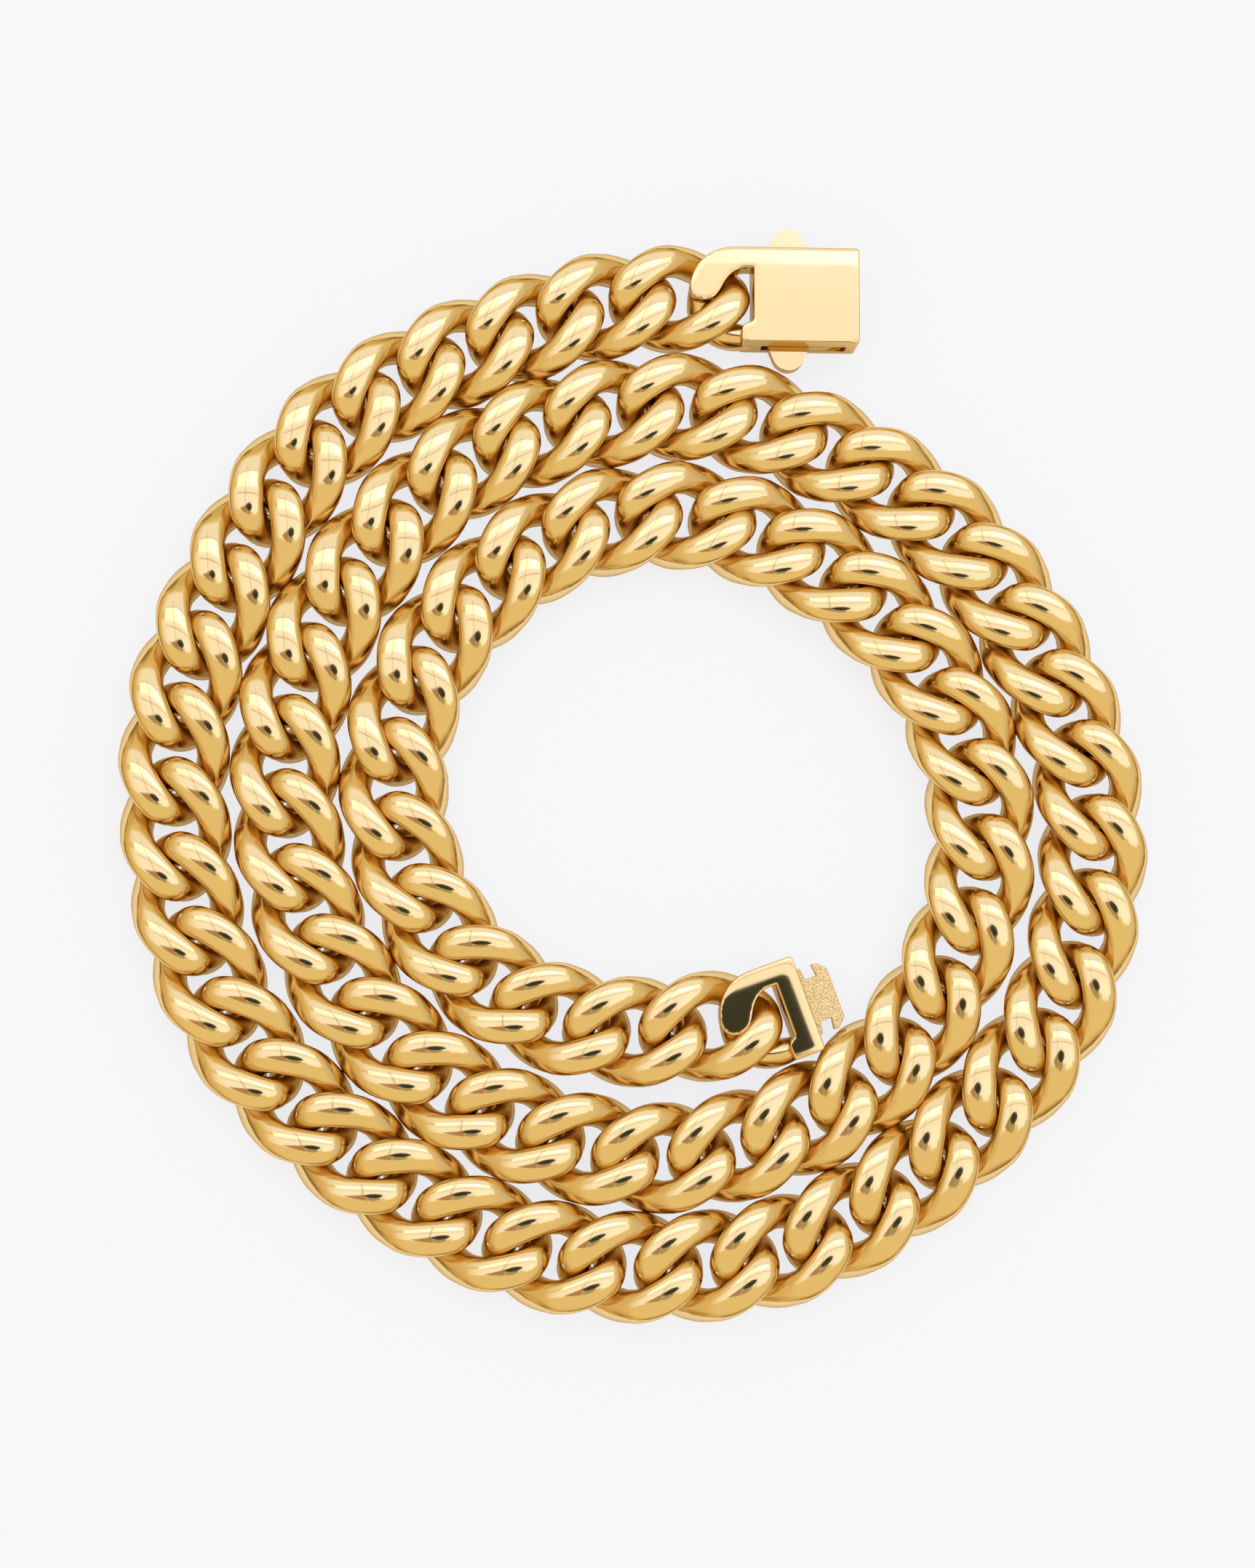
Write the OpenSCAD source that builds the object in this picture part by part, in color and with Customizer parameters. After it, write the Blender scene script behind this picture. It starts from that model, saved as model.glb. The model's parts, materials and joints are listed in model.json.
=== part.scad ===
// Curb chain necklace with a box clasp, lying open in a flat spiral.
// Millimetres. The chain lies on z = 0 and the origin is under the middle of the outer box.

/* [Chain] */
// Number of links between the clasp box and the tongue
link_count = 80; // [60:1:80]
// Outer length of one link, along the chain
link_len = 12.9; // [12:0.1:14]
// Outer width of one link, across the chain
link_w = 9.9; // [9.6:0.1:9.9]
// Thickness of the pressed chain, which lies flat
link_t = 4.2; // [4:0.1:4.4]
// Diameter of the wire that a link is bent from
wire_d = 2.7; // [2.5:0.05:2.7]
// Play between one link and the next when the chain is pulled straight
link_play = 0.7; // [0.6:0.05:0.9]
// Twist of a link at each end, in degrees: what makes a curb chain lie flat
link_twist = 50; // [46:1:54]
// Power of a link's outline: 2 is an ellipse, more is squarer
outline_power = 2.4; // [2.2:0.1:2.6]
// Power of the pressed flats: more is flatter with a tighter edge
press_power = 5; // [4:1:8]

/* [Clasp] */
// Width of the clasp box and of the tongue cap
clasp_w = 8.9; // [8.6:0.1:9.6]
// Thickness of the clasp box and of the tongue cap
clasp_t = 4.2; // [4:0.1:4.6]
// Length of the clasp box from its mouth to the wall of its end ring
box_len = 9.75; // [9.6:0.05:11]
// Length of the tongue cap from its flat end to the wall of its end ring
cap_len = 2.2; // [2:0.1:4]
// Length of the solid foot beside the ring of the clasp box
box_foot = 1.1; // [0.9:0.1:1.3]
// Length of the solid foot beside the ring of the tongue cap
cap_foot = 0.7; // [0.6:0.1:1.2]
// Width of a foot where it leaves the box or the cap
foot_w = 2; // [1.8:0.1:2.1]
// Gap between the last link and the wall of the ring that holds it
ring_gap = 0.3; // [0.3:0.05:0.4]
// Rounding of the upright corners of the box and the cap
corner_r = 0.35; // [0.2:0.05:0.5]
// Swing of the tongue past the last link, in degrees
tongue_swing = 12; // [9:1:13]

/* [Bay] */
// Height of the bay's floor, which is also the floor of the mouth and of the side slots
bay_floor = 0.95; // [0.8:0.05:1.2]
// Height of the bay, the mouth and the side slots
bay_h = 1.5; // [1.4:0.05:1.8]
// Width of the bay between the side slots, and of the mouth
bay_w = 6.5; // [6.4:0.05:6.8]
// Distance from the mouth to the near end of a side slot
slot_start = 1.05; // [0.9:0.05:1.1]
// Length of a side slot
slot_len = 7.85; // [7.7:0.05:7.9]

/* [Push levers] */
// Thickness of a lever
lever_t = 1.3; // [1.1:0.05:1.35]
// Width of a lever's bar
lever_w = 1.2; // [1:0.05:1.25]
// Gap between a lever's catch end and the end of its slot
lever_gap = 0.25; // [0.25:0.05:0.3]
// Gap between a push tab and the other end of the slot
tab_gap = 0.6; // [0.4:0.1:0.7]
// Distance from the mouth to a lever's pivot
pivot_from_mouth = 3.6; // [3.4:0.1:4]
// Distance from the outer face of the box in to a lever's pivot
pivot_inset = 0.65; // [0.6:0.05:0.75]
// Radius of the post that a lever turns on
post_r = 0.35; // [0.3:0.05:0.35]
// Radial running clearance of the lever's bore on its post
post_play = 0.04; // [0.02:0.01:0.06]
// Radius of the boss around the bore
boss_r = 0.85; // [0.75:0.05:0.9]
// Width of a push tab at the wall of the box
tab_w = 3.8; // [3.4:0.1:4]
// Reach of a push tab beyond the wall of the box
tab_reach = 2.2; // [1.8:0.1:2.6]
// Radius of a push tab's rounded tip
tab_tip_r = 1.5; // [1.3:0.1:1.6]
// Angle by which a lever's catch end is set in from the wall, in degrees
catch_set = 15; // [13:1:16]
// Length of the set-in catch end
catch_len = 1.65; // [1.5:0.05:1.7]
// Width of the catch tooth along the lever
tooth_w = 0.5; // [0.4:0.05:0.6]
// Depth that a tooth reaches into the tongue's notch
tooth_bite = 0.4; // [0.3:0.05:0.45]
// Length of the slope behind a tooth
tooth_ramp = 0.2; // [0.1:0.05:0.3]

/* [Tongue] */
// Thickness of the tongue plate
plate_t = 1.1; // [0.9:0.05:1.2]
// Width of the plate's head and of its shoulders
plate_w = 6.2; // [6:0.05:6.3]
// Width of the plate between its two notches
neck_w = 4; // [3.6:0.1:4.4]
// Length of the shoulders in front of the cap
shoulder_len = 0.65; // [0.5:0.05:0.7]
// Length of a notch at its bottom
notch_len = 1.1; // [1.05:0.05:1.3]
// Length of the head in front of the notches
head_len = 1.1; // [1:0.1:1.4]
// Bevel of the head's two front corners
head_bevel = 0.8; // [0.5:0.1:0.9]
// Slant of a notch's two sides: how far the tips beside it lean towards the cap
barb = 0.15; // [0:0.05:0.2]
// Length of the plate's root inside the cap
root_len = 1.5; // [1:0.1:1.6]

/* [Hidden] */

gold = "#e3bd63";
matt_gold = "#dcbf80";

// Rings along a link, and sides of its wire
link_rings = 16;
wire_sides = 6;
// Rings along an end ring of the clasp, whose wire has the same sides
end_rings = 10;
// Points of a quarter turn where a corner is rounded
corner_steps = 4;
// Steps around the rounded tip of a push tab
tab_steps = 10;
// Samples of the route between two of its points
route_steps = 12;
// Facets of a round post and of the bore on it
round_facets = 48;
// Length by which a cut runs past the face that it opens
cut = 1;

// Angle on the oval at which an end ring starts, just inside the body that it grows from
ring_start = 84;
// Share of the ring's half length over which its wire takes its own size
taper_share = 0.6;
// How much wider the low foot is on its inner side, as a share of its width
flare_share = 0.2;

link_pitch = link_len - 2 * wire_d - link_play;
// The route's unit: a link pitch, or more where wide links need more room between two turns
turn_share = 0.68;
route_unit = max(link_pitch, turn_share * link_w);
// From a ring's wall to the middle of the link that the ring holds
ring_reach = link_len / 2 + ring_gap;
// The end ring's own half length: it holds one wire with a gap on both sides
end_half_len = 1.5 * wire_d + 2 * ring_gap;

// The route of the chain, in route units, as it lies: from the box's ring at the top to the left,
// down and round, two and a half turns inwards
route = [
    [1.6, 6.35], [-0.3, 6.25], [-2.65, 5.4], [-4.25, 4.25], [-5.5, 2.2], [-6.05, 0.4],
    [-5.9, -1.8], [-5.1, -3.7], [-3.4, -5.35], [-1.35, -6.4], [0.95, -6.6], [2.8, -6.05],
    [4.55, -4.7], [5.75, -3], [6.15, -0.75], [5.55, 1.35], [4.35, 3.1], [2.5, 4.35],
    [0.5, 4.85], [-1.85, 4.25], [-3.45, 2.9], [-4.5, 0.9], [-4.5, -1.35], [-3.65, -3.15],
    [-2.05, -4.55], [0.3, -5.2], [2.45, -4.6], [3.9, -3.25], [4.65, -1.2], [4.2, 0.9],
    [2.8, 2.5], [0.85, 3.35], [-1.2, 2.95], [-2.8, 1.3], [-3.15, -0.75], [-2.1, -2.75],
    [0.1, -3.55], [3.65, -2.9]
];

// A smooth curve through the route's points

function route_point(i) =
    i < 0 ? 2 * route[0] - route[1] :
    i >= len(route) ? 2 * route[len(route) - 1] - route[len(route) - 2] :
    route[i];

function blend(p0, p1, p2, p3, t) =
    (2 * p1 + (p2 - p0) * t + (2 * p0 - 5 * p1 + 4 * p2 - p3) * t * t
        + (3 * p1 - p0 - 3 * p2 + p3) * t * t * t) / 2;

curve = [
    for (i = [0 : len(route) - 2], k = [0 : route_steps - 1])
        route_unit * blend(route_point(i - 1), route_point(i), route_point(i + 1),
                           route_point(i + 2), k / route_steps)
];

curve_run = [
    for (i = 0, run = 0; i < len(curve);
         run = run + (i + 1 < len(curve) ? norm(curve[i + 1] - curve[i]) : 0), i = i + 1)
        run
];

run_to_x = [for (i = [0 : len(curve) - 1]) [curve_run[i], curve[i].x]];
run_to_y = [for (i = [0 : len(curve) - 1]) [curve_run[i], curve[i].y]];

function along(run) = [lookup(run, run_to_x), lookup(run, run_to_y)];

// Places on the route: the box's ring wall, each link, then the cap's ring wall
chain_run = (link_count - 1) * link_pitch;
spots = [
    along(0),
    for (k = [0 : link_count - 1]) along(ring_reach + k * link_pitch),
    along(2 * ring_reach + chain_run)
];

function heading(from, to) = atan2(to.y - from.y, to.x - from.x);

tongue_heading = heading(spots[link_count - 1], spots[link_count + 1]) + tongue_swing;

// The middle of the outer box: links reach half a width past the route at the sides and the
// bottom, and the upper push tab is the highest point
spot_x = [for (p = spots) p.x];
spot_y = [for (p = spots) p.y];
frame_mid = [
    (min(spot_x) + max(spot_x)) / 2,
    (min(spot_y) - link_w / 2 + spots[0].y + clasp_w / 2 + tab_reach) / 2
];

// One link: a wire around a squared oval that is twisted about the chain and pressed flat

function signed_power(v, p) = sign(v) * pow(abs(v), p);

function oval_point(half_len, half_w, angle) =
    let (x = half_len * signed_power(cos(angle), 2 / outline_power),
         y = half_w * signed_power(sin(angle), 2 / outline_power),
         tilt = -link_twist * x / half_len)
    [x, y * cos(tilt), y * sin(tilt)];

function unit(v) = v / norm(v);

// A ring of points around the wire, with its sides level and its flats up and down
function wire_ring(middle, ahead, half_w, half_t) =
    let (side = unit(cross(ahead, [0, 0, 1])), up = cross(side, unit(ahead)))
    [for (k = [0 : wire_sides - 1])
        let (turn = 360 * k / wire_sides)
        middle + half_w * cos(turn) * side + half_t * sin(turn) * up];

function closed_rings(half_len, half_w) = [
    for (i = [0 : link_rings - 1])
        let (step = 360 / link_rings,
             before = oval_point(half_len, half_w, (i - 1) * step),
             after = oval_point(half_len, half_w, (i + 1) * step))
        wire_ring(oval_point(half_len, half_w, i * step), after - before, wire_d / 2, wire_d / 2)
];

// The room above the middle plane that brings the highest raw point down to half a thickness
function press_room(top, half_t) =
    pow(pow(half_t, -press_power) - pow(top, -press_power), -1 / press_power);

function pressed(z, room) =
    sign(z) * abs(z) / pow(1 + pow(abs(z) / room, press_power), 1 / press_power);

function highest(rings) = max([for (ring = rings, p = ring) p.z]);

function press_rings(rings, room, half_t) = [
    for (ring = rings) [for (p = ring) [p.x, p.y, half_t + pressed(p.z, room)]]
];

function flatten(rings) = [for (ring = rings, p = ring) p];

// Triangles between ring i and ring j of a list of rings
function band(i, j) = [
    for (k = [0 : wire_sides - 1])
        let (next = (k + 1) % wire_sides,
             a = i * wire_sides + k, b = i * wire_sides + next,
             c = j * wire_sides + next, d = j * wire_sides + k)
        each [[a, b, c], [a, c, d]]
];

raw_link = closed_rings((link_len - wire_d) / 2, (link_w - wire_d) / 2);
link_points = flatten(press_rings(raw_link, press_room(highest(raw_link), link_t / 2), link_t / 2));
link_faces = [for (i = [0 : link_rings - 1]) each band(i, (i + 1) % link_rings)];

module link() {
    polyhedron(points = link_points, faces = link_faces);
}

// Everything is laid out on the route and then moved so that the origin is under the middle
module laid(place, turn) {
    translate([place.x - frame_mid.x, place.y - frame_mid.y, 0])
        rotate(turn)
            children();
}

module links(first, last) {
    for (k = [first : last])
        laid(spots[k + 1], heading(spots[k], spots[k + 2]))
            link();
}

// The end ring of the box and of the cap: half a link whose flats are level with the clasp

// Half width of the ring's wire, which narrows towards the body, and half its height, which
// grows to the full thickness there
function ring_half_w(share) = wire_d / 2 - (wire_d / 2 - foot_w / 2) * pow(1 - share, 2);
function ring_half_t(share) = wire_d / 2 + (clasp_t / 2 - wire_d / 2) * pow(1 - share, 3);

function open_rings(half_w) = [
    for (i = [0 : end_rings])
        let (step = (360 - 2 * ring_start) / end_rings,
             angle = ring_start + i * step,
             middle = oval_point(end_half_len, half_w, angle),
             before = oval_point(end_half_len, half_w, angle - step / 2),
             after = oval_point(end_half_len, half_w, angle + step / 2),
             share = min(1, max(0, -middle.x / end_half_len / taper_share)))
        wire_ring(middle, after - before, ring_half_w(share), ring_half_t(share))
];

module end_ring() {
    raw = open_rings(clasp_w / 2 - foot_w / 2);
    rings = press_rings(raw, press_room(highest(raw), clasp_t / 2), clasp_t / 2);
    last = end_rings * wire_sides;
    polyhedron(
        points = flatten(rings),
        faces = [
            for (i = [0 : end_rings - 1]) each band(i, i + 1),
            [for (k = [wire_sides - 1 : -1 : 0]) k],
            [for (k = [0 : wire_sides - 1]) last + k]
        ]
    );
}

// Outlines whose corners are rounded: a table of x, y and corner radius, anticlockwise

function corner_arc(before, at, after, r) =
    let (u = unit(before - at), v = unit(after - at),
         half = acos(min(1, max(-1, u * v))) / 2,
         reach = min(r / tan(half), norm(before - at) / 2.01, norm(after - at) / 2.01),
         real_r = reach * tan(half),
         middle = at + unit(u + v) * real_r / sin(half),
         from = heading(middle, at + u * reach),
         sweep = (heading(middle, at + v * reach) - from + 540) % 360 - 180)
    [for (k = [0 : corner_steps]) middle
        + real_r * [cos(from + sweep * k / corner_steps), sin(from + sweep * k / corner_steps)]];

function rounded(table) = [
    for (i = [0 : len(table) - 1])
        let (row = table[i], at = [row.x, row.y],
             before = table[(i + len(table) - 1) % len(table)],
             after = table[(i + 1) % len(table)])
        each row.z == 0 ? [at] : corner_arc([before.x, before.y], at, [after.x, after.y], row.z)
];

// The full-thickness part of the box or the cap, seen from above, with its two feet
module body_plan(length, foot) {
    side = clasp_w / 2;
    inner = side - foot_w;
    polygon(rounded([
        [length, -side, corner_r],
        [length, side, corner_r],
        [-foot, side, 0],
        [-foot, inner, 0],
        [0, inner, corner_r],
        [0, -inner, corner_r],
        [-foot, -inner - foot_w * flare_share, corner_r * 2],
        [-foot, -side, corner_r]
    ]));
}

module body(length, foot) {
    linear_extrude(clasp_t)
        body_plan(length, foot);
    end_ring();
}

// Places inside the box, measured from its ring wall

slot_end_x = box_len - slot_start;
slot_back_x = slot_end_x - slot_len;
pivot = [box_len - pivot_from_mouth, clasp_w / 2 - pivot_inset];

module bay() {
    translate([slot_back_x, -bay_w / 2, bay_floor])
        cube([box_len - slot_back_x + cut, bay_w, bay_h]);
    translate([slot_back_x, -clasp_w / 2 - cut, bay_floor])
        cube([slot_len, clasp_w + 2 * cut, bay_h]);
}

module post() {
    translate([pivot.x, pivot.y, bay_floor])
        cylinder(r = post_r, h = bay_h, $fn = round_facets);
}

module clasp_box() {
    color(gold)
        laid(spots[0], 0) {
            difference() {
                body(box_len, box_foot);
                bay();
            }
            post();
            mirror([0, 1, 0])
                post();
        }
}

// One push lever, on the upper side: tab, bar, boss and catch tooth are one flat piece
module lever_plan() {
    wall = clasp_w / 2;
    back = slot_back_x + tab_gap;
    front = slot_end_x - lever_gap;
    bend = front - catch_len;
    drop = catch_len * tan(catch_set);
    tooth = plate_w / 2 - tooth_bite;
    tab_mid = back + tab_w / 2;
    tip = wall + tab_reach - tab_tip_r;
    // The angle at which the tab's straight side runs into its rounded tip
    rise = tab_reach - tab_tip_r;
    start = acos(tab_tip_r / norm([tab_w / 2, rise])) - atan2(rise, tab_w / 2);
    polygon([
        [back, wall - lever_w],
        [bend, wall - lever_w],
        [front - tooth_w - tooth_ramp, wall - lever_w - drop / 2],
        [front - tooth_w, tooth],
        [front, tooth],
        [front, wall - drop],
        [bend, wall],
        [back + tab_w, wall],
        for (k = [0 : tab_steps])
            let (turn = start + (180 - 2 * start) * k / tab_steps)
            [tab_mid + tab_tip_r * cos(turn), tip + tab_tip_r * sin(turn)],
        [back, wall]
    ]);
}

// The boss is round inside the box and flush with the box's side
module boss_plan() {
    intersection() {
        translate(pivot)
            circle(r = boss_r, $fn = round_facets);
        translate([pivot.x - boss_r, clasp_w / 2 - 2 * boss_r])
            square(2 * boss_r);
    }
}

module push_lever() {
    translate([0, 0, bay_floor + (bay_h - lever_t) / 2])
        difference() {
            linear_extrude(lever_t)
                union() {
                    lever_plan();
                    boss_plan();
                }
            translate([pivot.x, pivot.y, -cut])
                cylinder(r = post_r + post_play, h = lever_t + 2 * cut, $fn = round_facets);
        }
}

module upper_push_lever() {
    color(gold)
        laid(spots[0], 0)
            push_lever();
}

module lower_push_lever() {
    color(gold)
        laid(spots[0], 0)
            mirror([0, 1, 0])
                push_lever();
}

// The tongue: a cap with its ring, and a notched plate whose root fills a slot in the cap

plate_z = bay_floor + (bay_h - plate_t) / 2;

module plate_plan() {
    neck = neck_w / 2;
    head = plate_w / 2;
    notch = cap_len + shoulder_len;
    front = notch + notch_len;
    tip = front + head_len;
    half = [
        [cap_len - root_len, neck],
        [cap_len, neck],
        [cap_len, head],
        [notch - barb, head],
        [notch, neck],
        [front, neck],
        [front - barb, head],
        [tip - head_bevel, head],
        [tip, head - head_bevel]
    ];
    polygon([
        for (p = half) p,
        for (k = [len(half) - 1 : -1 : 0]) [half[k].x, -half[k].y]
    ]);
}

module tongue_cap() {
    color(gold)
        laid(spots[link_count + 1], tongue_heading)
            difference() {
                body(cap_len, cap_foot);
                translate([cap_len - root_len, -neck_w / 2, plate_z])
                    cube([root_len + cut, neck_w, plate_t]);
            }
}

module tongue_plate() {
    color(matt_gold)
        laid(spots[link_count + 1], tongue_heading)
            translate([0, 0, plate_z])
                linear_extrude(plate_t)
                    plate_plan();
}

module chain_outer() {
    color(gold)
        links(0, floor(link_count / 2) - 1);
}

module chain_inner() {
    color(gold)
        links(floor(link_count / 2), link_count - 1);
}

chain_outer();
chain_inner();
clasp_box();
upper_push_lever();
lower_push_lever();
tongue_cap();
tongue_plate();
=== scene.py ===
"""Looks of a curb chain necklace with a box clasp: polished links in a flat spiral, the hollow box
with its end ring and push levers, and the notched tongue. Sizes are in millimetres until a piece
is finished; Blender holds metres."""

import json
import math

import bmesh
import bpy
from mathutils import Matrix, Vector


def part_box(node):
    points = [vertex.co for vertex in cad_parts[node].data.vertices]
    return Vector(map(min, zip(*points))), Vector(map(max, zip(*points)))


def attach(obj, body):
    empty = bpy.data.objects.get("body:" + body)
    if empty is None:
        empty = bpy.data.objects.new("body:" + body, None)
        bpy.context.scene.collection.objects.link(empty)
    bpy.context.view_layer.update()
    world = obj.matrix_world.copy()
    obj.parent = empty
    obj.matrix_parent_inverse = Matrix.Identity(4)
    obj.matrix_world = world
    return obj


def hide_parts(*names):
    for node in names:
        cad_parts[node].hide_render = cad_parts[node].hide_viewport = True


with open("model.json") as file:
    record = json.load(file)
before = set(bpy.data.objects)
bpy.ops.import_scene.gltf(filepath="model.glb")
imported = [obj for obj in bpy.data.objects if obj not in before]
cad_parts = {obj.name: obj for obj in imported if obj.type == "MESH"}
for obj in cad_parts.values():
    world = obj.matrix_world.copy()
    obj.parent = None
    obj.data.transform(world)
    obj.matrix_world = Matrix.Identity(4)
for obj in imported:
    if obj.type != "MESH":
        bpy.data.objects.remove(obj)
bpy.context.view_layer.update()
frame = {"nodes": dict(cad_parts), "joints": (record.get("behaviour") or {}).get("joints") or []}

MM = 0.001
BODY = "necklace"

# Chain: the link's real sizes, and its place on the chain's route
LINK_COUNT = 80
LINK_LEN = 13.0
LINK_W = 9.9
LINK_T = 4.2
WIRE_D = 2.93
LINK_PITCH = 6.8
LINK_REACH = 12.9 / 2
LINK_TWIST = math.radians(54)
TWIST_EASE = 0.2
OUTLINE_POWER = 2.5
PRESS_POWER = 1.6
# How much the press spreads and raises the wire at its highest place, as shares of the wire, and
# how soon that begins
DOME_SPREAD = 0.06
DOME_RISE = 0.08
DOME_EASE = 0.6
LINK_RINGS = 72
WIRE_SIDES = 28
# The plain ring that a wire is bent from, and the step, in radians, that finds a path's heading
PLAIN_RING_R = 3
NUDGE = 0.01

# Clasp
CLASP_W = 8.9
CLASP_T = 4.2
BOX_LEN = 9.75
CAP_LEN = 2.2
BOX_FOOT = 1.1
CAP_FOOT = 0.7
FOOT_W = 2.0
FOOT_TAPER = 0.2
RING_GAP = 0.3
RING_WIRE_D = 2.7
RING_START = math.radians(150)
RING_END = math.radians(270.3)
RING_DROP = (math.radians(152), math.radians(192))
RING_STEPS = 40
# An end ring's wire inside its flat arm, as a share of the full wire, and the share of the ring's
# length over which it narrows to the foot
RING_THIN = 0.8
TAPER_SHARE = 0.6
ARM_T = 2.3
CORNER_R = 0.35
CORNER_STEPS = 5
RIM_BEVEL = 0.09
PLATE_BEVEL = 0.08
LEVER_BEVEL = 0.06
BEVEL_STEPS = 3
GRID_STEP = 0.2
# Angles, in degrees, above which an edge is bevelled or shaded sharp, and in radians for a rim
SOFTEN_DEG = 30
SHARP_DEG = 40
RIM_ANGLE = 1
LEVEL_WEIGHT = 80
TONGUE_SWING = math.radians(12)

# The flat arm of an end ring, from the body's corner out round its nose and back to the body
ARM = [
    (0, 4.45), (-1.2, 4.45), (-2.3, 4.4), (-3.4, 4.1), (-4.35, 3.55), (-5.1, 2.75), (-5.6, 1.8),
    (-5.85, 0.7), (-5.55, -0.2), (-4.7, -0.6), (-3.75, -0.35), (-3.15, 0.3), (-2.7, 1.1),
    (-2.2, 1.75), (-1.6, 2.2), (-0.9, 2.45), (0, 2.45),
]
ARM_CURVE_STEPS = 4

# How far in from an edge a flat starts to fall, and how far it falls there, in mm: at the far
# side, round the arm, and at the outer end and the near side of the box and of the cap
FAR_CROWN = (1.7, 0.08)
ARM_CROWN = (0.45, 0.02)
BOX_CROWNS = ((0.9, 0.035), (1, 0))
CAP_CROWNS = ((1.4, 0.062), (0.8, 0.038))

# Bay inside the box
BAY_FLOOR = 0.95
BAY_H = 1.5
BAY_W = 6.5
SLOT_START = 1.05
SLOT_LEN = 7.85

# Metal: its two tones as they are seen, the deeper, darker tone that other metal mirrors it with
# (painted shade that deepens the crevices and rims where links mirror each other), and its rim.
# Sizes in metres
GOLD_TONES = ((0.77, 0.59, 0.295), (0.79, 0.61, 0.315))
GOLD_MIRRORED_SHADE = (0.80, 0.55, 0.23)
GOLD_RIM = (0.75, 0.6, 0.42)
GOLD_ROUGHNESS = (0.05, 0.09)
MIRRORED_ROUGHNESS = 0.4
WAVE_SIZE = 0.006
MARK_SIZE = 0.00025
MATT_TONES = ((0.56, 0.41, 0.19), (0.98, 0.80, 0.46))
MATT_ROUGHNESS = (0.5, 0.32)
GRAIN_SCALE = 9000
PIT_RANGE = (0.38, 0.62)

# Floor: half its width and its depth in metres, its glow, and its colours and the strengths of
# the glow, first as the metal mirrors it and then as it is seen
FLOOR_REACH = 3
FLOOR_DEPTH = 0.00002
FLOOR_GLOW = (0.745, 0.76, 0.80)
FLOOR_COLOURS = ((0.74, 0.78, 0.88), (0.192, 0.202, 0.202))
FLOOR_STRENGTHS = (0.44, 1)

# Studio: the colours of what the metal mirrors, and of the backdrop that the camera sees
WARM_WALL = (1.0, 0.83, 0.48)
RIGHT_WALL = (0.86, 0.75, 0.57)
LEFT_WALL = (0.90, 0.68, 0.34)
LOW_WALL = (0.79, 0.57, 0.23)
DARK_THINGS = (0.34, 0.20, 0.06)
BRIGHT_SPOT = (1.75, 1.75, 2.7)
PANEL_SEAM = (0.50, 0.36, 0.19)
CEILING_SEAM = (0.44, 0.31, 0.15)
CAMERA_ARM = (0.53, 0.34, 0.2)
CAMERA_SHADE = (0.50, 0.45, 0.32)
CAMERA_BLACK = (0.045, 0.05, 0.035)
BACKDROP = (0.94, 0.94, 0.945)

# The panel's strips on the plan of the sky: x, y, half width, half height, soft edge, brightness
STRIPS = [
    (-0.065, 0.36, 0.435, 0.13, 0.05, 1.18),
    (-0.065, 0.055, 0.435, 0.10, 0.006, 1.3),
    (0.05, 0.20, 0.28, 0.055, 0.006, 1.75),
    (0.21, -0.01, 0.08, 0.07, 0.02, 1.4),
]
STRIP_BLUE = 1.1
SEAM_HALF_W = 0.003
# What is added to a direction's height before the sky is flattened to its plan
PLAN_LIFT = 1.02

# Camera, in mm
CAMERA_PLACE = (-15.81, -28.39, 263.48)
CAMERA_AHEAD = (0.05693, 0.10122, -0.99323)
SENSOR_H = 36
LENS = 66.8

# The chain's route, in link pitches, from the box's ring to the cap's ring
ROUTE = [
    (1.6, 6.35), (-0.3, 6.25), (-2.65, 5.4), (-4.25, 4.25), (-5.5, 2.2), (-6.05, 0.4),
    (-5.9, -1.8), (-5.1, -3.7), (-3.4, -5.35), (-1.35, -6.4), (0.95, -6.6), (2.8, -6.05),
    (4.55, -4.7), (5.75, -3), (6.15, -0.75), (5.55, 1.35), (4.35, 3.1), (2.5, 4.35),
    (0.5, 4.85), (-1.85, 4.25), (-3.45, 2.9), (-4.5, 0.9), (-4.5, -1.35), (-3.65, -3.15),
    (-2.05, -4.55), (0.3, -5.2), (2.45, -4.6), (3.9, -3.25), (4.65, -1.2), (4.2, 0.9),
    (2.8, 2.5), (0.85, 3.35), (-1.2, 2.95), (-2.8, 1.3), (-3.15, -0.75), (-2.1, -2.75),
    (0.1, -3.55), (3.65, -2.9),
]
ROUTE_STEPS = 12


# --- The route ---

def smooth_curve(points, steps):
    """A smooth line through the points, that many steps between two of them, without the last."""
    ends = [2 * points[0] - points[1], *points, 2 * points[-1] - points[-2]]
    curve = []
    for p0, p1, p2, p3 in zip(ends, ends[1:], ends[2:], ends[3:]):
        for k in range(steps):
            t = k / steps
            curve.append((2 * p1 + (p2 - p0) * t + (2 * p0 - 5 * p1 + 4 * p2 - p3) * t ** 2
                          + (3 * p1 - p0 - 3 * p2 + p3) * t ** 3) / 2)
    return curve


def along(curve, run):
    """The point that lies that far along the curve."""
    for a, b in zip(curve, curve[1:]):
        step = (b - a).length
        if run <= step:
            return a.lerp(b, run / step)
        run -= step
    return curve[-1].copy()


def chain_spots():
    """The box's ring wall, the middle of each link, and the cap's ring wall."""
    curve = smooth_curve([Vector(p) * LINK_PITCH for p in ROUTE], ROUTE_STEPS)
    reach = LINK_REACH + RING_GAP
    runs = [0] + [reach + k * LINK_PITCH for k in range(LINK_COUNT)]
    spots = [along(curve, run) for run in runs + [runs[-1] + reach]]
    joints = frame["joints"]
    axis_y = (joints[0]["pos_m"][1] + joints[1]["pos_m"][1]) / 2 / MM
    wall_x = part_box("clasp_box")[1].x / MM - BOX_LEN
    shift = Vector((wall_x, axis_y)) - spots[0]
    return [spot + shift for spot in spots]


def heading(a, b):
    return math.atan2(b.y - a.y, b.x - a.x)


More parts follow.
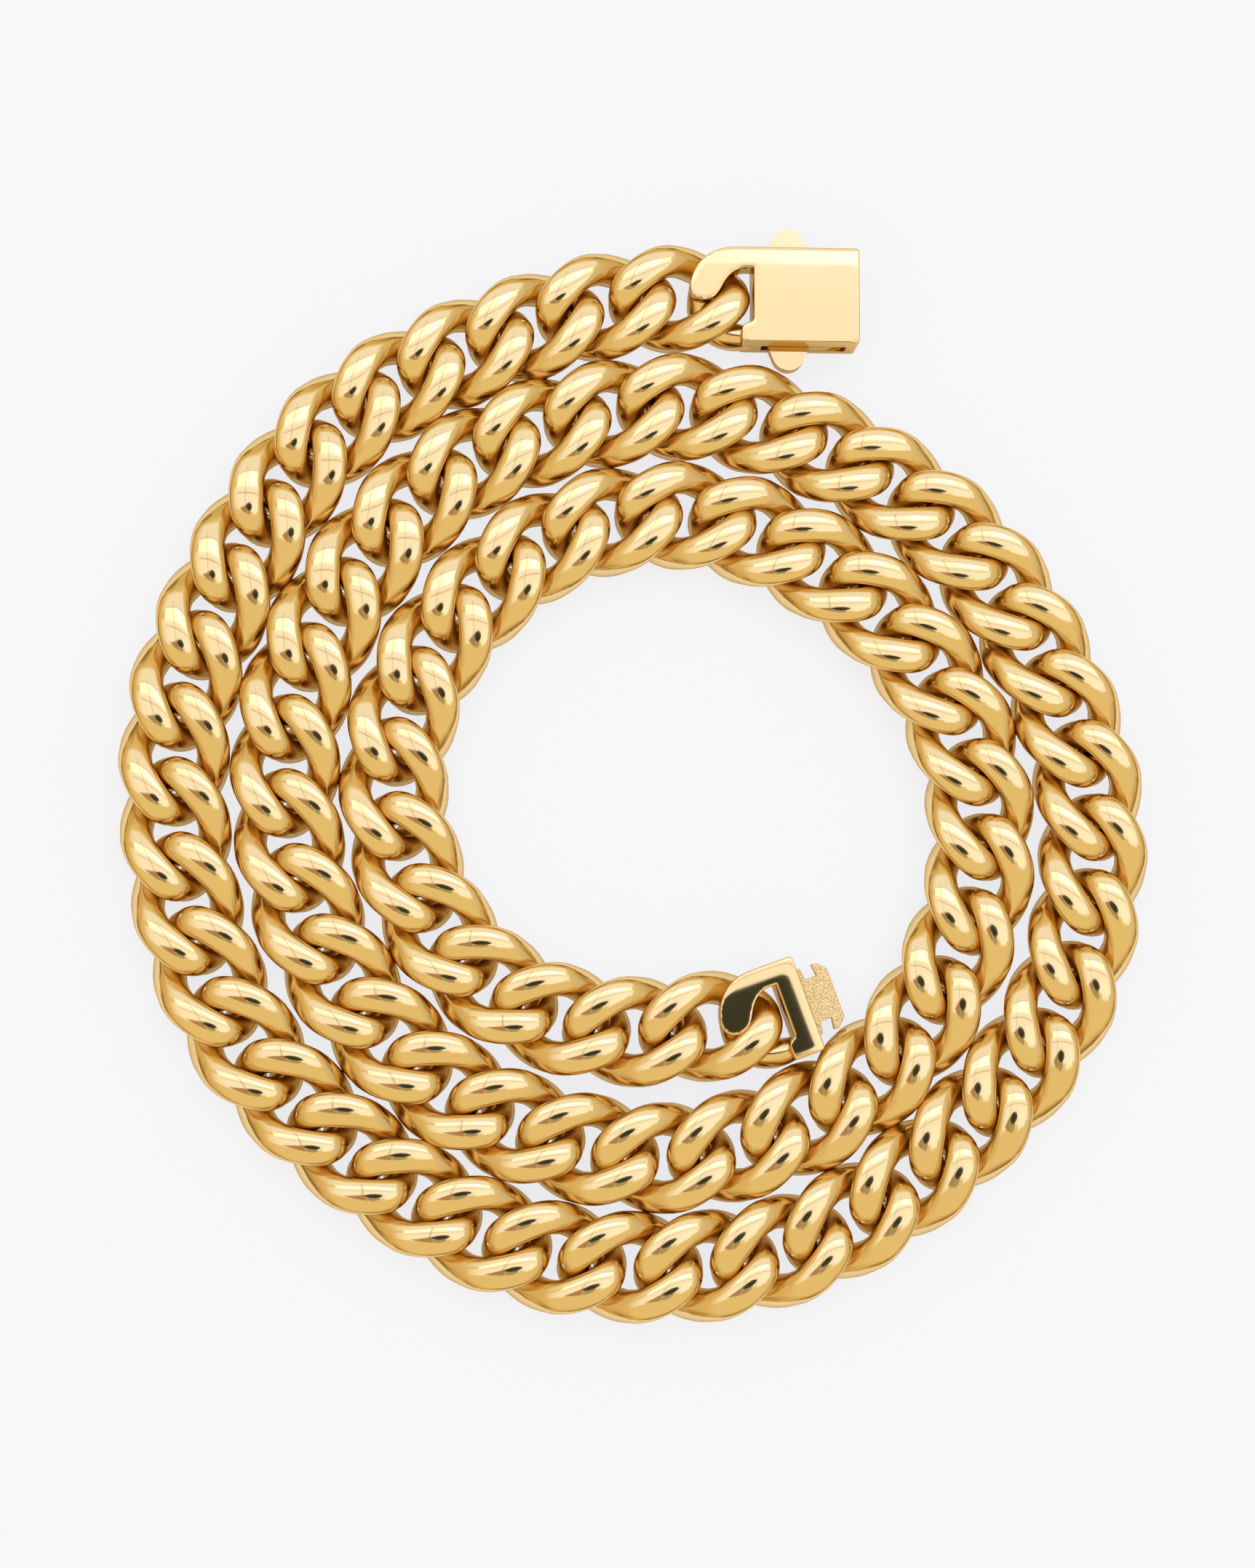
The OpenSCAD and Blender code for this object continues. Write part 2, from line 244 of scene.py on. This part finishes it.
def placed(spot, turn):
    return Matrix.Translation((spot.x, spot.y, 0)) @ Matrix.Rotation(turn, 4, "Z")


# --- Wire shapes ---

def signed_power(value, power):
    return math.copysign(abs(value) ** power, value)


def oval_point(half_len, half_w, angle):
    """A point on the squared oval that a link's wire follows, twisted about the chain's line."""
    x = half_len * signed_power(math.cos(angle), 2 / OUTLINE_POWER)
    y = half_w * signed_power(math.sin(angle), 2 / OUTLINE_POWER)
    share = x / half_len
    tilt = -LINK_TWIST * share * (1 + TWIST_EASE * (1 - share ** 2))
    return Vector((x, y * math.cos(tilt), y * math.sin(tilt)))


def wire_point(path, angle, side_angle, reach_w, reach_t):
    """A point on the wire's skin, round the path by angle and round the wire by side_angle."""
    ahead = (path(angle + NUDGE) - path(angle - NUDGE)).normalized()
    side = ahead.cross(Vector((0, 0, 1))).normalized()
    up = side.cross(ahead)
    across, above = reach_w * math.cos(side_angle), reach_t * math.sin(side_angle)
    return path(angle) + side * across + up * above


def press_flat(bm, half_t, power):
    """Presses the highest and lowest parts flat, softly, and sets the piece on the surface."""
    top = max(v.co.z for v in bm.verts)
    room = (half_t ** -power - top ** -power) ** (-1 / power)
    for v in bm.verts:
        z = abs(v.co.z)
        v.co.z = half_t + math.copysign(z / (1 + (z / room) ** power) ** (1 / power), v.co.z)


def ring_angles(v):
    """Where a vertex of a plain ring lies: round the ring, and round its wire."""
    out = math.hypot(v.co.x, v.co.y) - PLAIN_RING_R
    return math.atan2(v.co.y, v.co.x), math.atan2(v.co.z, out)


def plain_ring(turn, steps, closed):
    """A plain ring of wire, or a stretch of one, ready to be shaped."""
    bm = bmesh.new()
    circle = bmesh.ops.create_circle(bm, segments=WIRE_SIDES, radius=1, cap_ends=False)
    upright = Matrix.Translation((PLAIN_RING_R, 0, 0)) @ Matrix.Rotation(math.pi / 2, 4, "X")
    bmesh.ops.transform(bm, verts=circle["verts"], matrix=upright)
    bmesh.ops.spin(bm, geom=bm.verts[:] + bm.edges[:], cent=(0, 0, 0), axis=(0, 0, 1),
                   dvec=(0, 0, 0), angle=turn, steps=steps, use_merge=closed,
                   use_normal_flip=False, use_duplicate=False)
    return bm


def link_bm():
    """One link: round wire in a twisted oval, spread a little where the press meets it."""
    bm = plain_ring(2 * math.pi, LINK_RINGS, True)
    half_len, half_w = (LINK_LEN - WIRE_D) / 2, (LINK_W - WIRE_D) / 2

    def path(angle):
        return oval_point(half_len, half_w, angle)

    highest = max(path(math.radians(a)).z for a in range(360))
    for v in bm.verts:
        angle, side_angle = ring_angles(v)
        dome = (abs(path(angle).z) / highest) ** DOME_EASE
        v.co = wire_point(path, angle, side_angle, WIRE_D / 2 * (1 + DOME_SPREAD * dome),
                          WIRE_D / 2 * (1 + DOME_RISE * dome))
    press_flat(bm, LINK_T / 2, PRESS_POWER)
    bmesh.ops.recalc_face_normals(bm, faces=bm.faces[:])
    return bm


def low_wire_bm():
    """The rest of an end ring: round wire from inside the flat arm's nose down to the low foot."""
    bm = plain_ring(RING_END - RING_START, RING_STEPS, False)
    bmesh.ops.holes_fill(bm, edges=[e for e in bm.edges if e.is_boundary], sides=0)
    half_len = 1.5 * RING_WIRE_D + 2 * RING_GAP
    half_w = CLASP_W / 2 - FOOT_W / 2

    def drop(angle):
        share = min(1, max(0, (angle - RING_DROP[0]) / (RING_DROP[1] - RING_DROP[0])))
        return share ** 2 * (3 - 2 * share)

    def path(angle):
        at = oval_point(half_len, half_w, angle)
        z = (CLASP_T - ARM_T) / 2 * (1 - drop(angle)) - (CLASP_T - RING_WIRE_D) / 2 * drop(angle)
        return Vector((at.x, half_w * signed_power(math.sin(angle), 2 / OUTLINE_POWER), z))

    for v in bm.verts:
        angle, side_angle = ring_angles(v)
        angle = angle % (2 * math.pi) + RING_START
        share = min(1, max(0, -path(angle).x / half_len / TAPER_SHARE))
        round_r = RING_WIRE_D / 2 * (RING_THIN + (1 - RING_THIN) * drop(angle))
        reach_w = round_r - (RING_WIRE_D - FOOT_W) / 2 * (1 - share) ** 2
        v.co = wire_point(path, angle, side_angle, reach_w, round_r)
    bmesh.ops.translate(bm, verts=bm.verts[:], vec=(0, 0, CLASP_T / 2))
    bmesh.ops.recalc_face_normals(bm, faces=bm.faces[:])
    return bm


# --- Full-thickness bodies ---

def corner_arc(before, at, after, radius):
    """The points that round off a corner."""
    u, v = (before - at).normalized(), (after - at).normalized()
    half = u.angle(v) / 2
    reach = radius / math.tan(half)
    middle = at + (u + v).normalized() * radius / math.sin(half)
    start = at + u * reach - middle
    sweep = start.angle_signed(at + v * reach - middle)
    turns = [-sweep * k / CORNER_STEPS for k in range(CORNER_STEPS + 1)]
    return [middle + Matrix.Rotation(turn, 2) @ start for turn in turns]


def body_outline(length, foot):
    """A body's outline, from its outer end to the wall that its end ring grows out of."""
    side = CLASP_W / 2
    inner = side - FOOT_W
    table = [
        (length, -side, CORNER_R),
        (length, side, CORNER_R),
        (0, side, 0),
        (0, inner, 0),
        (0, -inner, CORNER_R),
        (-foot, -inner - FOOT_W * FOOT_TAPER, CORNER_R * 2),
        (-foot, -side, CORNER_R),
    ]
    at = [Vector(row[:2]) for row in table]
    outline = []
    for i, (_, _, radius) in enumerate(table):
        if radius:
            outline += corner_arc(at[i - 1], at[i], at[(i + 1) % len(at)], radius)
        else:
            outline.append(at[i])
    return outline


def distance_to(line, point):
    """The shortest distance from a point to an open line."""
    best = math.inf
    for a, b in zip(line, line[1:]):
        run = b - a
        share = min(1, max(0, (point - a).dot(run) / run.length_squared))
        best = min(best, (point - a - run * share).length)
    return best


def fall(distance, crown):
    """How far a flat has fallen at a distance from its edge."""
    width, drop = crown
    return drop * (1 - min(1, distance / width)) ** 2


def body_bm(length, foot, crowns):
    """A body of full thickness, and the flat arm that grows out of its upper part."""
    end_crown, near_crown = crowns
    outline = body_outline(length, foot)
    arm = smooth_curve([Vector(p) for p in ARM], ARM_CURVE_STEPS)
    start = next(i for i, p in enumerate(outline) if (p - arm[0]).length < 1e-4)
    bm = bmesh.new()
    at_wall = [bm.verts.new((p.x, p.y, CLASP_T - ARM_T)) for p in outline]
    at_arm = [bm.verts.new((p.x, p.y, CLASP_T - ARM_T)) for p in arm[1:]]
    body = bm.faces.new(at_wall)
    flat = bm.faces.new([at_wall[start], *at_arm, at_wall[start + 1]])
    for faces, rise in (([body, flat], ARM_T), ([body], ARM_T - CLASP_T)):
        edges = {e for f in faces for e in f.edges}
        grown = bmesh.ops.extrude_face_region(bm, geom=faces + list(edges))
        moved = [g for g in grown["geom"] if isinstance(g, bmesh.types.BMVert)]
        bmesh.ops.translate(bm, verts=moved, vec=(0, 0, rise))
    bmesh.ops.recalc_face_normals(bm, faces=bm.faces[:])
    rims = [e for e in bm.edges if abs(e.verts[0].co.z - e.verts[1].co.z) < 1e-6
            and e.is_convex and e.calc_face_angle() > RIM_ANGLE]
    bmesh.ops.bevel(bm, geom=rims, offset=RIM_BEVEL, offset_type="OFFSET",
                    segments=BEVEL_STEPS, profile=0.5, affect="EDGES", material=-1)
    grid_cut(bm, min(p.x for p in arm), length, 0)
    grid_cut(bm, -CLASP_W / 2, CLASP_W / 2, 1)
    round_arm = outline[:start + 1] + arm[1:] + outline[start + 1:]
    for v in bm.verts:
        above = v.co.z - CLASP_T / 2
        if abs(above) > CLASP_T / 2 - RIM_BEVEL * 1.01:
            down = (fall(CLASP_W / 2 - v.co.y, FAR_CROWN) + fall(length - v.co.x, end_crown)
                    + fall(CLASP_W / 2 + v.co.y, near_crown)
                    + fall(distance_to(round_arm, v.co.xy), ARM_CROWN))
            v.co.z -= math.copysign(down, above)
    return bm


def grid_cut(bm, low, high, axis):
    """Cuts the faces along planes across an axis, so that they can be curved."""
    count = math.ceil((high - low) / GRID_STEP)
    normal = Vector((axis == 0, axis == 1, 0))
    for k in range(1, count):
        place = normal * (low + (high - low) * k / count)
        bmesh.ops.bisect_plane(bm, geom=bm.verts[:] + bm.edges[:] + bm.faces[:], dist=1e-5,
                               plane_co=place, plane_no=normal)


# --- Finishing a piece ---

def as_mesh(bm, name):
    mesh = bpy.data.meshes.new(name)
    bm.to_mesh(mesh)
    bm.free()
    return mesh


def as_piece(bm, name, material, body, node, smooth_deg=None):
    """Makes an object of the mesh, in metres, that stands for a CAD node."""
    bmesh.ops.dissolve_degenerate(bm, dist=1e-4, edges=bm.edges[:])
    bmesh.ops.scale(bm, vec=(MM, MM, MM), verts=bm.verts[:])
    piece = bpy.data.objects.new(name, as_mesh(bm, name))
    bpy.context.scene.collection.objects.link(piece)
    piece.data.materials.append(material)
    piece.data.shade_smooth()
    if smooth_deg:
        piece.data.set_sharp_from_angle(angle=math.radians(smooth_deg))
        level = piece.modifiers.new("level_flats", "WEIGHTED_NORMAL")
        level.weight, level.keep_sharp = LEVEL_WEIGHT, True
    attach(piece, body)
    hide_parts(node)
    return piece


def joined(parts):
    """One mesh of several (mesh, matrix) pairs."""
    bm = bmesh.new()
    for mesh, matrix in parts:
        old = len(bm.verts)
        bm.from_mesh(mesh)
        bm.verts.ensure_lookup_table()
        bmesh.ops.transform(bm, matrix=matrix, verts=bm.verts[old:])
    return bm


def cut_out(bm, boxes):
    """Cuts boxes, each a lowest and a highest corner, out of the mesh."""
    cutter = bmesh.new()
    for low, high in boxes:
        cube = bmesh.ops.create_cube(cutter, size=1)
        low, high = Vector(low), Vector(high)
        stretch = Matrix.Diagonal((*(high - low), 1))
        bmesh.ops.transform(cutter, verts=cube["verts"],
                            matrix=Matrix.Translation((low + high) / 2) @ stretch)
    solid = bpy.data.objects.new("solid", as_mesh(bm, "solid"))
    tool = bpy.data.objects.new("tool", as_mesh(cutter, "tool"))
    for obj in (solid, tool):
        bpy.context.scene.collection.objects.link(obj)
    cut = solid.modifiers.new("cut", "BOOLEAN")
    cut.operation, cut.solver, cut.object, cut.use_self = "DIFFERENCE", "EXACT", tool, True
    bpy.context.view_layer.update()
    result = bmesh.new()
    result.from_object(solid, bpy.context.evaluated_depsgraph_get())
    for obj in (solid, tool):
        mesh = obj.data
        bpy.data.objects.remove(obj)
        bpy.data.meshes.remove(mesh)
    return result


def softened_node(node, edge_mm):
    """A CAD node's own solid, merged, with its sharp edges bevelled, in millimetres."""
    bm = bmesh.new()
    bm.from_mesh(frame["nodes"][node].data)
    bmesh.ops.scale(bm, vec=(1 / MM, 1 / MM, 1 / MM), verts=bm.verts[:])
    bmesh.ops.remove_doubles(bm, verts=bm.verts[:], dist=1e-3)
    bmesh.ops.dissolve_limit(bm, angle_limit=math.radians(1), verts=bm.verts[:], edges=bm.edges[:])
    sharp = [e for e in bm.edges
             if len(e.link_faces) == 2 and e.calc_face_angle() > math.radians(SOFTEN_DEG)]
    bmesh.ops.bevel(bm, geom=sharp, offset=edge_mm, offset_type="OFFSET",
                    segments=BEVEL_STEPS, profile=0.5, affect="EDGES", material=-1,
                    clamp_overlap=True)
    return bm


# --- Materials ---

def polish_group():
    """What a buffing wheel leaves: a faint waviness, hair-fine marks and a slight tone change."""
    tree = bpy.data.node_groups.new("buffed_polish", "ShaderNodeTree")
    for name, size in (("Wave Size", WAVE_SIZE), ("Mark Size", MARK_SIZE)):
        socket = tree.interface.new_socket(name, in_out="INPUT", socket_type="NodeSocketFloat")
        socket.default_value = size
    for name in ("Tone", "Marks", "Height"):
        tree.interface.new_socket(name, in_out="OUTPUT", socket_type="NodeSocketFloat")
    nodes, links = tree.nodes, tree.links
    given, out = nodes.new("NodeGroupInput"), nodes.new("NodeGroupOutput")
    place = nodes.new("ShaderNodeTexCoord").outputs["Object"]

    def noise(size_socket, detail):
        scale = nodes.new("ShaderNodeMath")
        scale.operation = "DIVIDE"
        scale.inputs[0].default_value = 1
        links.new(size_socket, scale.inputs[1])
        texture = nodes.new("ShaderNodeTexNoise")
        texture.inputs["Detail"].default_value = detail
        links.new(place, texture.inputs["Vector"])
        links.new(scale.outputs[0], texture.inputs["Scale"])
        return texture.outputs["Fac"]

    wave = noise(given.outputs["Wave Size"], 1)
    marks = noise(given.outputs["Mark Size"], 3)
    links.new(wave, out.inputs["Tone"])
    links.new(marks, out.inputs["Marks"])
    links.new(wave, out.inputs["Height"])
    return tree


def shader_of(material):
    material.use_nodes = True
    nodes = material.node_tree.nodes
    return nodes, material.node_tree.links, nodes["Principled BSDF"]


def colour_mix(nodes, links, share, low, high):
    """A colour between two, each of them a fixed colour or a socket."""
    mix = nodes.new("ShaderNodeMix")
    mix.data_type = "RGBA"
    links.new(share, mix.inputs["Factor"])
    for socket, value in ((mix.inputs["A"], low), (mix.inputs["B"], high)):
        if isinstance(value, tuple):
            socket.default_value = (*value, 1)
        else:
            links.new(value, socket)
    return mix.outputs["Result"]


def bumped(nodes, links, height, strength, depth, shader):
    """Lets a height stir the shader's normal."""
    bump = nodes.new("ShaderNodeBump")
    bump.inputs["Strength"].default_value = strength
    bump.inputs["Distance"].default_value = depth
    links.new(height, bump.inputs["Height"])
    links.new(bump.outputs["Normal"], shader.inputs["Normal"])


def ranged(nodes, links, value, low, high, socket):
    """Feeds a 0 to 1 value into a socket as a range."""
    spread = nodes.new("ShaderNodeMapRange")
    spread.inputs["To Min"].default_value = low
    spread.inputs["To Max"].default_value = high
    links.new(value, spread.inputs["Value"])
    links.new(spread.outputs["Result"], socket)


def polished_gold(polish):
    """Mirror-polished gold. Metal that is seen in other metal is a little softer and takes a
    deeper, darker colour, painted shade for the crevices and rims where links mirror each other.
    """
    material = bpy.data.materials.new("polished_gold")
    nodes, links, shader = shader_of(material)
    shader.inputs["Metallic"].default_value = 1
    group = nodes.new("ShaderNodeGroup")
    group.node_tree = polish
    group.inputs["Wave Size"].default_value = WAVE_SIZE
    group.inputs["Mark Size"].default_value = MARK_SIZE
    tone = colour_mix(nodes, links, group.outputs["Tone"], *GOLD_TONES)
    seen = nodes.new("ShaderNodeLightPath").outputs["Is Camera Ray"]
    # painted shade: gold seen in other gold takes a deeper, darker colour than its own tones, to
    # darken the crevices between links
    colour = colour_mix(nodes, links, seen, GOLD_MIRRORED_SHADE, tone)
    links.new(colour, shader.inputs["Base Color"])
    shader.inputs["Specular Tint"].default_value = (*GOLD_RIM, 1)
    rough = nodes.new("ShaderNodeMix")
    links.new(seen, rough.inputs["Factor"])
    rough.inputs["A"].default_value = MIRRORED_ROUGHNESS
    ranged(nodes, links, group.outputs["Marks"], *GOLD_ROUGHNESS, rough.inputs["B"])
    links.new(rough.outputs["Result"], shader.inputs["Roughness"])
    bumped(nodes, links, group.outputs["Height"], 0.25, 0.00004, shader)
    return material


def matt_gold():
    """The tongue's blasted finish: a fine stipple of pits and bright grains."""
    material = bpy.data.materials.new("matt_gold")
    nodes, links, shader = shader_of(material)
    shader.inputs["Metallic"].default_value = 1
    place = nodes.new("ShaderNodeTexCoord").outputs["Object"]
    grain = nodes.new("ShaderNodeTexNoise")
    grain.inputs["Scale"].default_value = GRAIN_SCALE
    grain.inputs["Detail"].default_value = 3
    links.new(place, grain.inputs["Vector"])
    pits = nodes.new("ShaderNodeMapRange")
    pits.inputs["From Min"].default_value, pits.inputs["From Max"].default_value = PIT_RANGE
    links.new(grain.outputs["Fac"], pits.inputs["Value"])
    pit = pits.outputs["Result"]
    links.new(colour_mix(nodes, links, pit, *MATT_TONES), shader.inputs["Base Color"])
    ranged(nodes, links, pit, *MATT_ROUGHNESS, shader.inputs["Roughness"])
    bumped(nodes, links, grain.outputs["Fac"], 0.8, 0.00005, shader)
    return material


# --- Build ---

spots = chain_spots()
gold = polished_gold(polish_group())
matt = matt_gold()

link_mesh = as_mesh(link_bm(), "link")
half_count = LINK_COUNT // 2
for name, first, last in (("chain_outer", 0, half_count), ("chain_inner", half_count, LINK_COUNT)):
    laid = [(link_mesh, placed(spots[k + 1], heading(spots[k], spots[k + 2])))
            for k in range(first, last)]
    as_piece(joined(laid), name + "_links", gold, BODY, name)

wire_mesh = as_mesh(low_wire_bm(), "low_wire")

slot_end = BOX_LEN - SLOT_START
slot_back = slot_end - SLOT_LEN
bay = [
    ((slot_back, -BAY_W / 2, BAY_FLOOR), (BOX_LEN + 1, BAY_W / 2, BAY_FLOOR + BAY_H)),
    ((slot_back, -CLASP_W / 2 - 1, BAY_FLOOR), (slot_end, CLASP_W / 2 + 1, BAY_FLOOR + BAY_H)),
]
box_mesh = as_mesh(cut_out(body_bm(BOX_LEN, BOX_FOOT, BOX_CROWNS), bay), "box")
box_place = placed(spots[0], 0)
as_piece(joined([(box_mesh, box_place), (wire_mesh, box_place)]), "clasp_box_shell", gold,
         BODY, "clasp_box", smooth_deg=SHARP_DEG)

cap_place = placed(spots[-1], heading(spots[-3], spots[-1]) + TONGUE_SWING)
cap_mesh = as_mesh(body_bm(CAP_LEN, CAP_FOOT, CAP_CROWNS), "cap")
as_piece(joined([(cap_mesh, cap_place), (wire_mesh, cap_place)]), "tongue_cap_shell", gold,
         BODY, "tongue_cap", smooth_deg=SHARP_DEG)

as_piece(softened_node("tongue_plate", PLATE_BEVEL), "tongue_plate_blank", matt, BODY,
         "tongue_plate", smooth_deg=SHARP_DEG)
for node, body in (("upper_push_lever", "upper_lever"), ("lower_push_lever", "lower_lever")):
    as_piece(softened_node(node, LEVER_BEVEL), node + "_blank", gold, body, node,
             smooth_deg=SHARP_DEG)


# --- Stage, light and camera ---

def add_floor():
    """A pale table. The metal mirrors it with the chain's own shade on it, while it is seen
    itself almost without shadow, as a raised white background."""
    bm = bmesh.new()
    bmesh.ops.create_grid(bm, x_segments=1, y_segments=1, size=FLOOR_REACH)
    bmesh.ops.translate(bm, verts=bm.verts[:], vec=(0, 0, -FLOOR_DEPTH))
    floor = bpy.data.objects.new("floor", as_mesh(bm, "floor"))
    bpy.context.scene.collection.objects.link(floor)
    material = bpy.data.materials.new("pale_table")
    nodes, links, shader = shader_of(material)
    shader.inputs["Roughness"].default_value = 1
    shader.inputs["Specular IOR Level"].default_value = 0
    shader.inputs["Emission Color"].default_value = (*FLOOR_GLOW, 1)
    seen = nodes.new("ShaderNodeLightPath").outputs["Is Camera Ray"]
    links.new(colour_mix(nodes, links, seen, *FLOOR_COLOURS), shader.inputs["Base Color"])
    ranged(nodes, links, seen, *FLOOR_STRENGTHS, shader.inputs["Emission Strength"])
    floor.data.materials.append(material)


class Sky:
    """The studio that the metal mirrors, drawn by direction over a half sphere. Places are
    x and y on a plan of the sky, 0 straight up and 1 at the horizon."""

    def __init__(self, colour):
        self.colour = colour
        world = bpy.data.worlds.new("studio")
        bpy.context.scene.world = world
        world.use_nodes = True
        self.nodes, self.links = world.node_tree.nodes, world.node_tree.links
        self.back = self.nodes["Background"]
        self.way = self.nodes.new("ShaderNodeTexCoord").outputs["Generated"]
        way = self.nodes.new("ShaderNodeSeparateXYZ")
        self.links.new(self.way, way.inputs[0])
        over = self.math("ADD", way.outputs["Z"], PLAN_LIFT)
        self.x = self.math("DIVIDE", way.outputs["X"], over)
        self.y = self.math("DIVIDE", way.outputs["Y"], over)
        self.radius = self.math("SQRT", self.squares(self.x, self.y))

    def math(self, operation, a, b=None):
        node = self.nodes.new("ShaderNodeMath")
        node.operation = operation
        for socket, value in zip(node.inputs, (a, b)):
            if value is None:
                continue
            if isinstance(value, (int, float)):
                socket.default_value = value
            else:
                self.links.new(value, socket)
        return node.outputs[0]

    def squares(self, a, b):
        """The sum of the squares of two values."""
        return self.math("ADD", self.math("MULTIPLY", a, a), self.math("MULTIPLY", b, b))

    def step(self, value, low, high):
        """0 below low, 1 above high, smooth between."""
        node = self.nodes.new("ShaderNodeMapRange")
        node.interpolation_type = "SMOOTHSTEP"
        node.inputs["From Min"].default_value = low
        node.inputs["From Max"].default_value = high
        self.links.new(value, node.inputs["Value"])
        return node.outputs["Result"]

    def patch(self, x, y, half_w, half_h, soft=0.01):
        """A rectangle on the plan with soft edges."""
        in_x = self.math("ABSOLUTE", self.math("SUBTRACT", self.x, x))
        in_y = self.math("ABSOLUTE", self.math("SUBTRACT", self.y, y))
        keep_x = self.math("SUBTRACT", 1, self.step(in_x, half_w - soft, half_w + soft))
        keep_y = self.math("SUBTRACT", 1, self.step(in_y, half_h - soft, half_h + soft))
        return self.math("MULTIPLY", keep_x, keep_y)

    def disc(self, x, y, half_w, half_h, soft=0.1):
        """An oval on the plan; soft is a share of its size."""
        in_x = self.math("DIVIDE", self.math("SUBTRACT", self.x, x), half_w)
        in_y = self.math("DIVIDE", self.math("SUBTRACT", self.y, y), half_h)
        out = self.squares(in_x, in_y)
        return self.math("SUBTRACT", 1, self.step(out, 1 - soft, 1 + soft))

    def blotches(self, size, low, high):
        """Soft-edged spots of about that size over the whole sky."""
        node = self.nodes.new("ShaderNodeTexNoise")
        node.inputs["Scale"].default_value = 1 / size
        node.inputs["Detail"].default_value = 1
        self.links.new(self.way, node.inputs["Vector"])
        return self.step(node.outputs["Fac"], low, high)

    def wedge(self, tip_x, end_x, y, slope, soft=0.006):
        """A triangle on the plan that opens from its tip towards +x."""
        in_y = self.math("ABSOLUTE", self.math("SUBTRACT", self.y, y))
        open_by = self.math("MULTIPLY", self.math("SUBTRACT", self.x, tip_x), slope)
        keep_y = self.step(self.math("SUBTRACT", open_by, in_y), -soft, soft)
        keep_x = self.math("SUBTRACT", 1, self.step(self.x, end_x - soft, end_x + soft))
        return self.math("MULTIPLY", keep_x, keep_y)

    def paint(self, mask, colour):
        """Lays a colour over what is painted so far."""
        self.colour = colour_mix(self.nodes, self.links, mask, self.colour, colour)


def add_studio():
    """A white ceiling panel ahead of the part, in three strips, dimmer warm walls round it with
    darker things along them, and the dark camera overhead with its arm and its shade. The camera
    itself sees only a pale backdrop."""
    sky = Sky(WARM_WALL)
    sky.paint(sky.step(sky.x, 0.30, 0.55), RIGHT_WALL)
    sky.paint(sky.step(sky.math("MULTIPLY", sky.x, -1), 0.25, 0.5), LEFT_WALL)
    sky.paint(sky.step(sky.radius, 0.45, 0.85), LOW_WALL)
    far = sky.math("MULTIPLY", sky.step(sky.radius, 0.5, 0.95), sky.blotches(0.4, 0.42, 0.6))
    sky.paint(far, DARK_THINGS)
    fade = sky.step(sky.x, -0.48, -0.12)
    for x, y, half_w, half_h, soft, light in STRIPS:
        strip = sky.math("MULTIPLY", fade, sky.patch(x, y, half_w, half_h, soft))
        sky.paint(strip, (light, light, light * STRIP_BLUE))
    sky.paint(sky.patch(0.12, 0.20, 0.07, 0.055, 0.012), BRIGHT_SPOT)
    for y in (0.103, 0.258):
        sky.paint(sky.patch(0.07, y, 0.27, SEAM_HALF_W, SEAM_HALF_W), PANEL_SEAM)
    sky.paint(sky.patch(-0.035, 0.17, SEAM_HALF_W, 0.16, SEAM_HALF_W), CEILING_SEAM)
    sky.paint(sky.wedge(-0.17, -0.015, -0.025, 0.33), CAMERA_ARM)
    sky.paint(sky.disc(0.03, -0.045, 0.045, 0.04, 0.2), CAMERA_SHADE)
    sky.paint(sky.disc(0.038, 0.004, 0.062, 0.036), CAMERA_BLACK)
    sky.paint(sky.nodes.new("ShaderNodeLightPath").outputs["Is Camera Ray"], BACKDROP)
    sky.links.new(sky.colour, sky.back.inputs["Color"])
    sky.back.inputs["Strength"].default_value = 1.0


def add_camera():
    """The camera, as it was fitted to the places of the links in the photograph."""
    ahead = Vector(CAMERA_AHEAD).normalized()
    right = ahead.cross(Vector((0, 1, 0))).normalized()
    up = right.cross(ahead)
    data = bpy.data.cameras.new("camera")
    data.sensor_fit = "VERTICAL"
    data.sensor_height = SENSOR_H
    data.lens = LENS
    data.clip_start, data.clip_end = 0.005, 20
    camera = bpy.data.objects.new("camera", data)
    bpy.context.scene.collection.objects.link(camera)
    turn = Matrix((right, up, -ahead)).transposed().to_4x4()
    camera.matrix_world = Matrix.Translation(Vector(CAMERA_PLACE) * MM) @ turn
    bpy.context.scene.camera = camera


add_floor()
add_studio()
add_camera()
bpy.context.scene.view_settings.view_transform = "Standard"
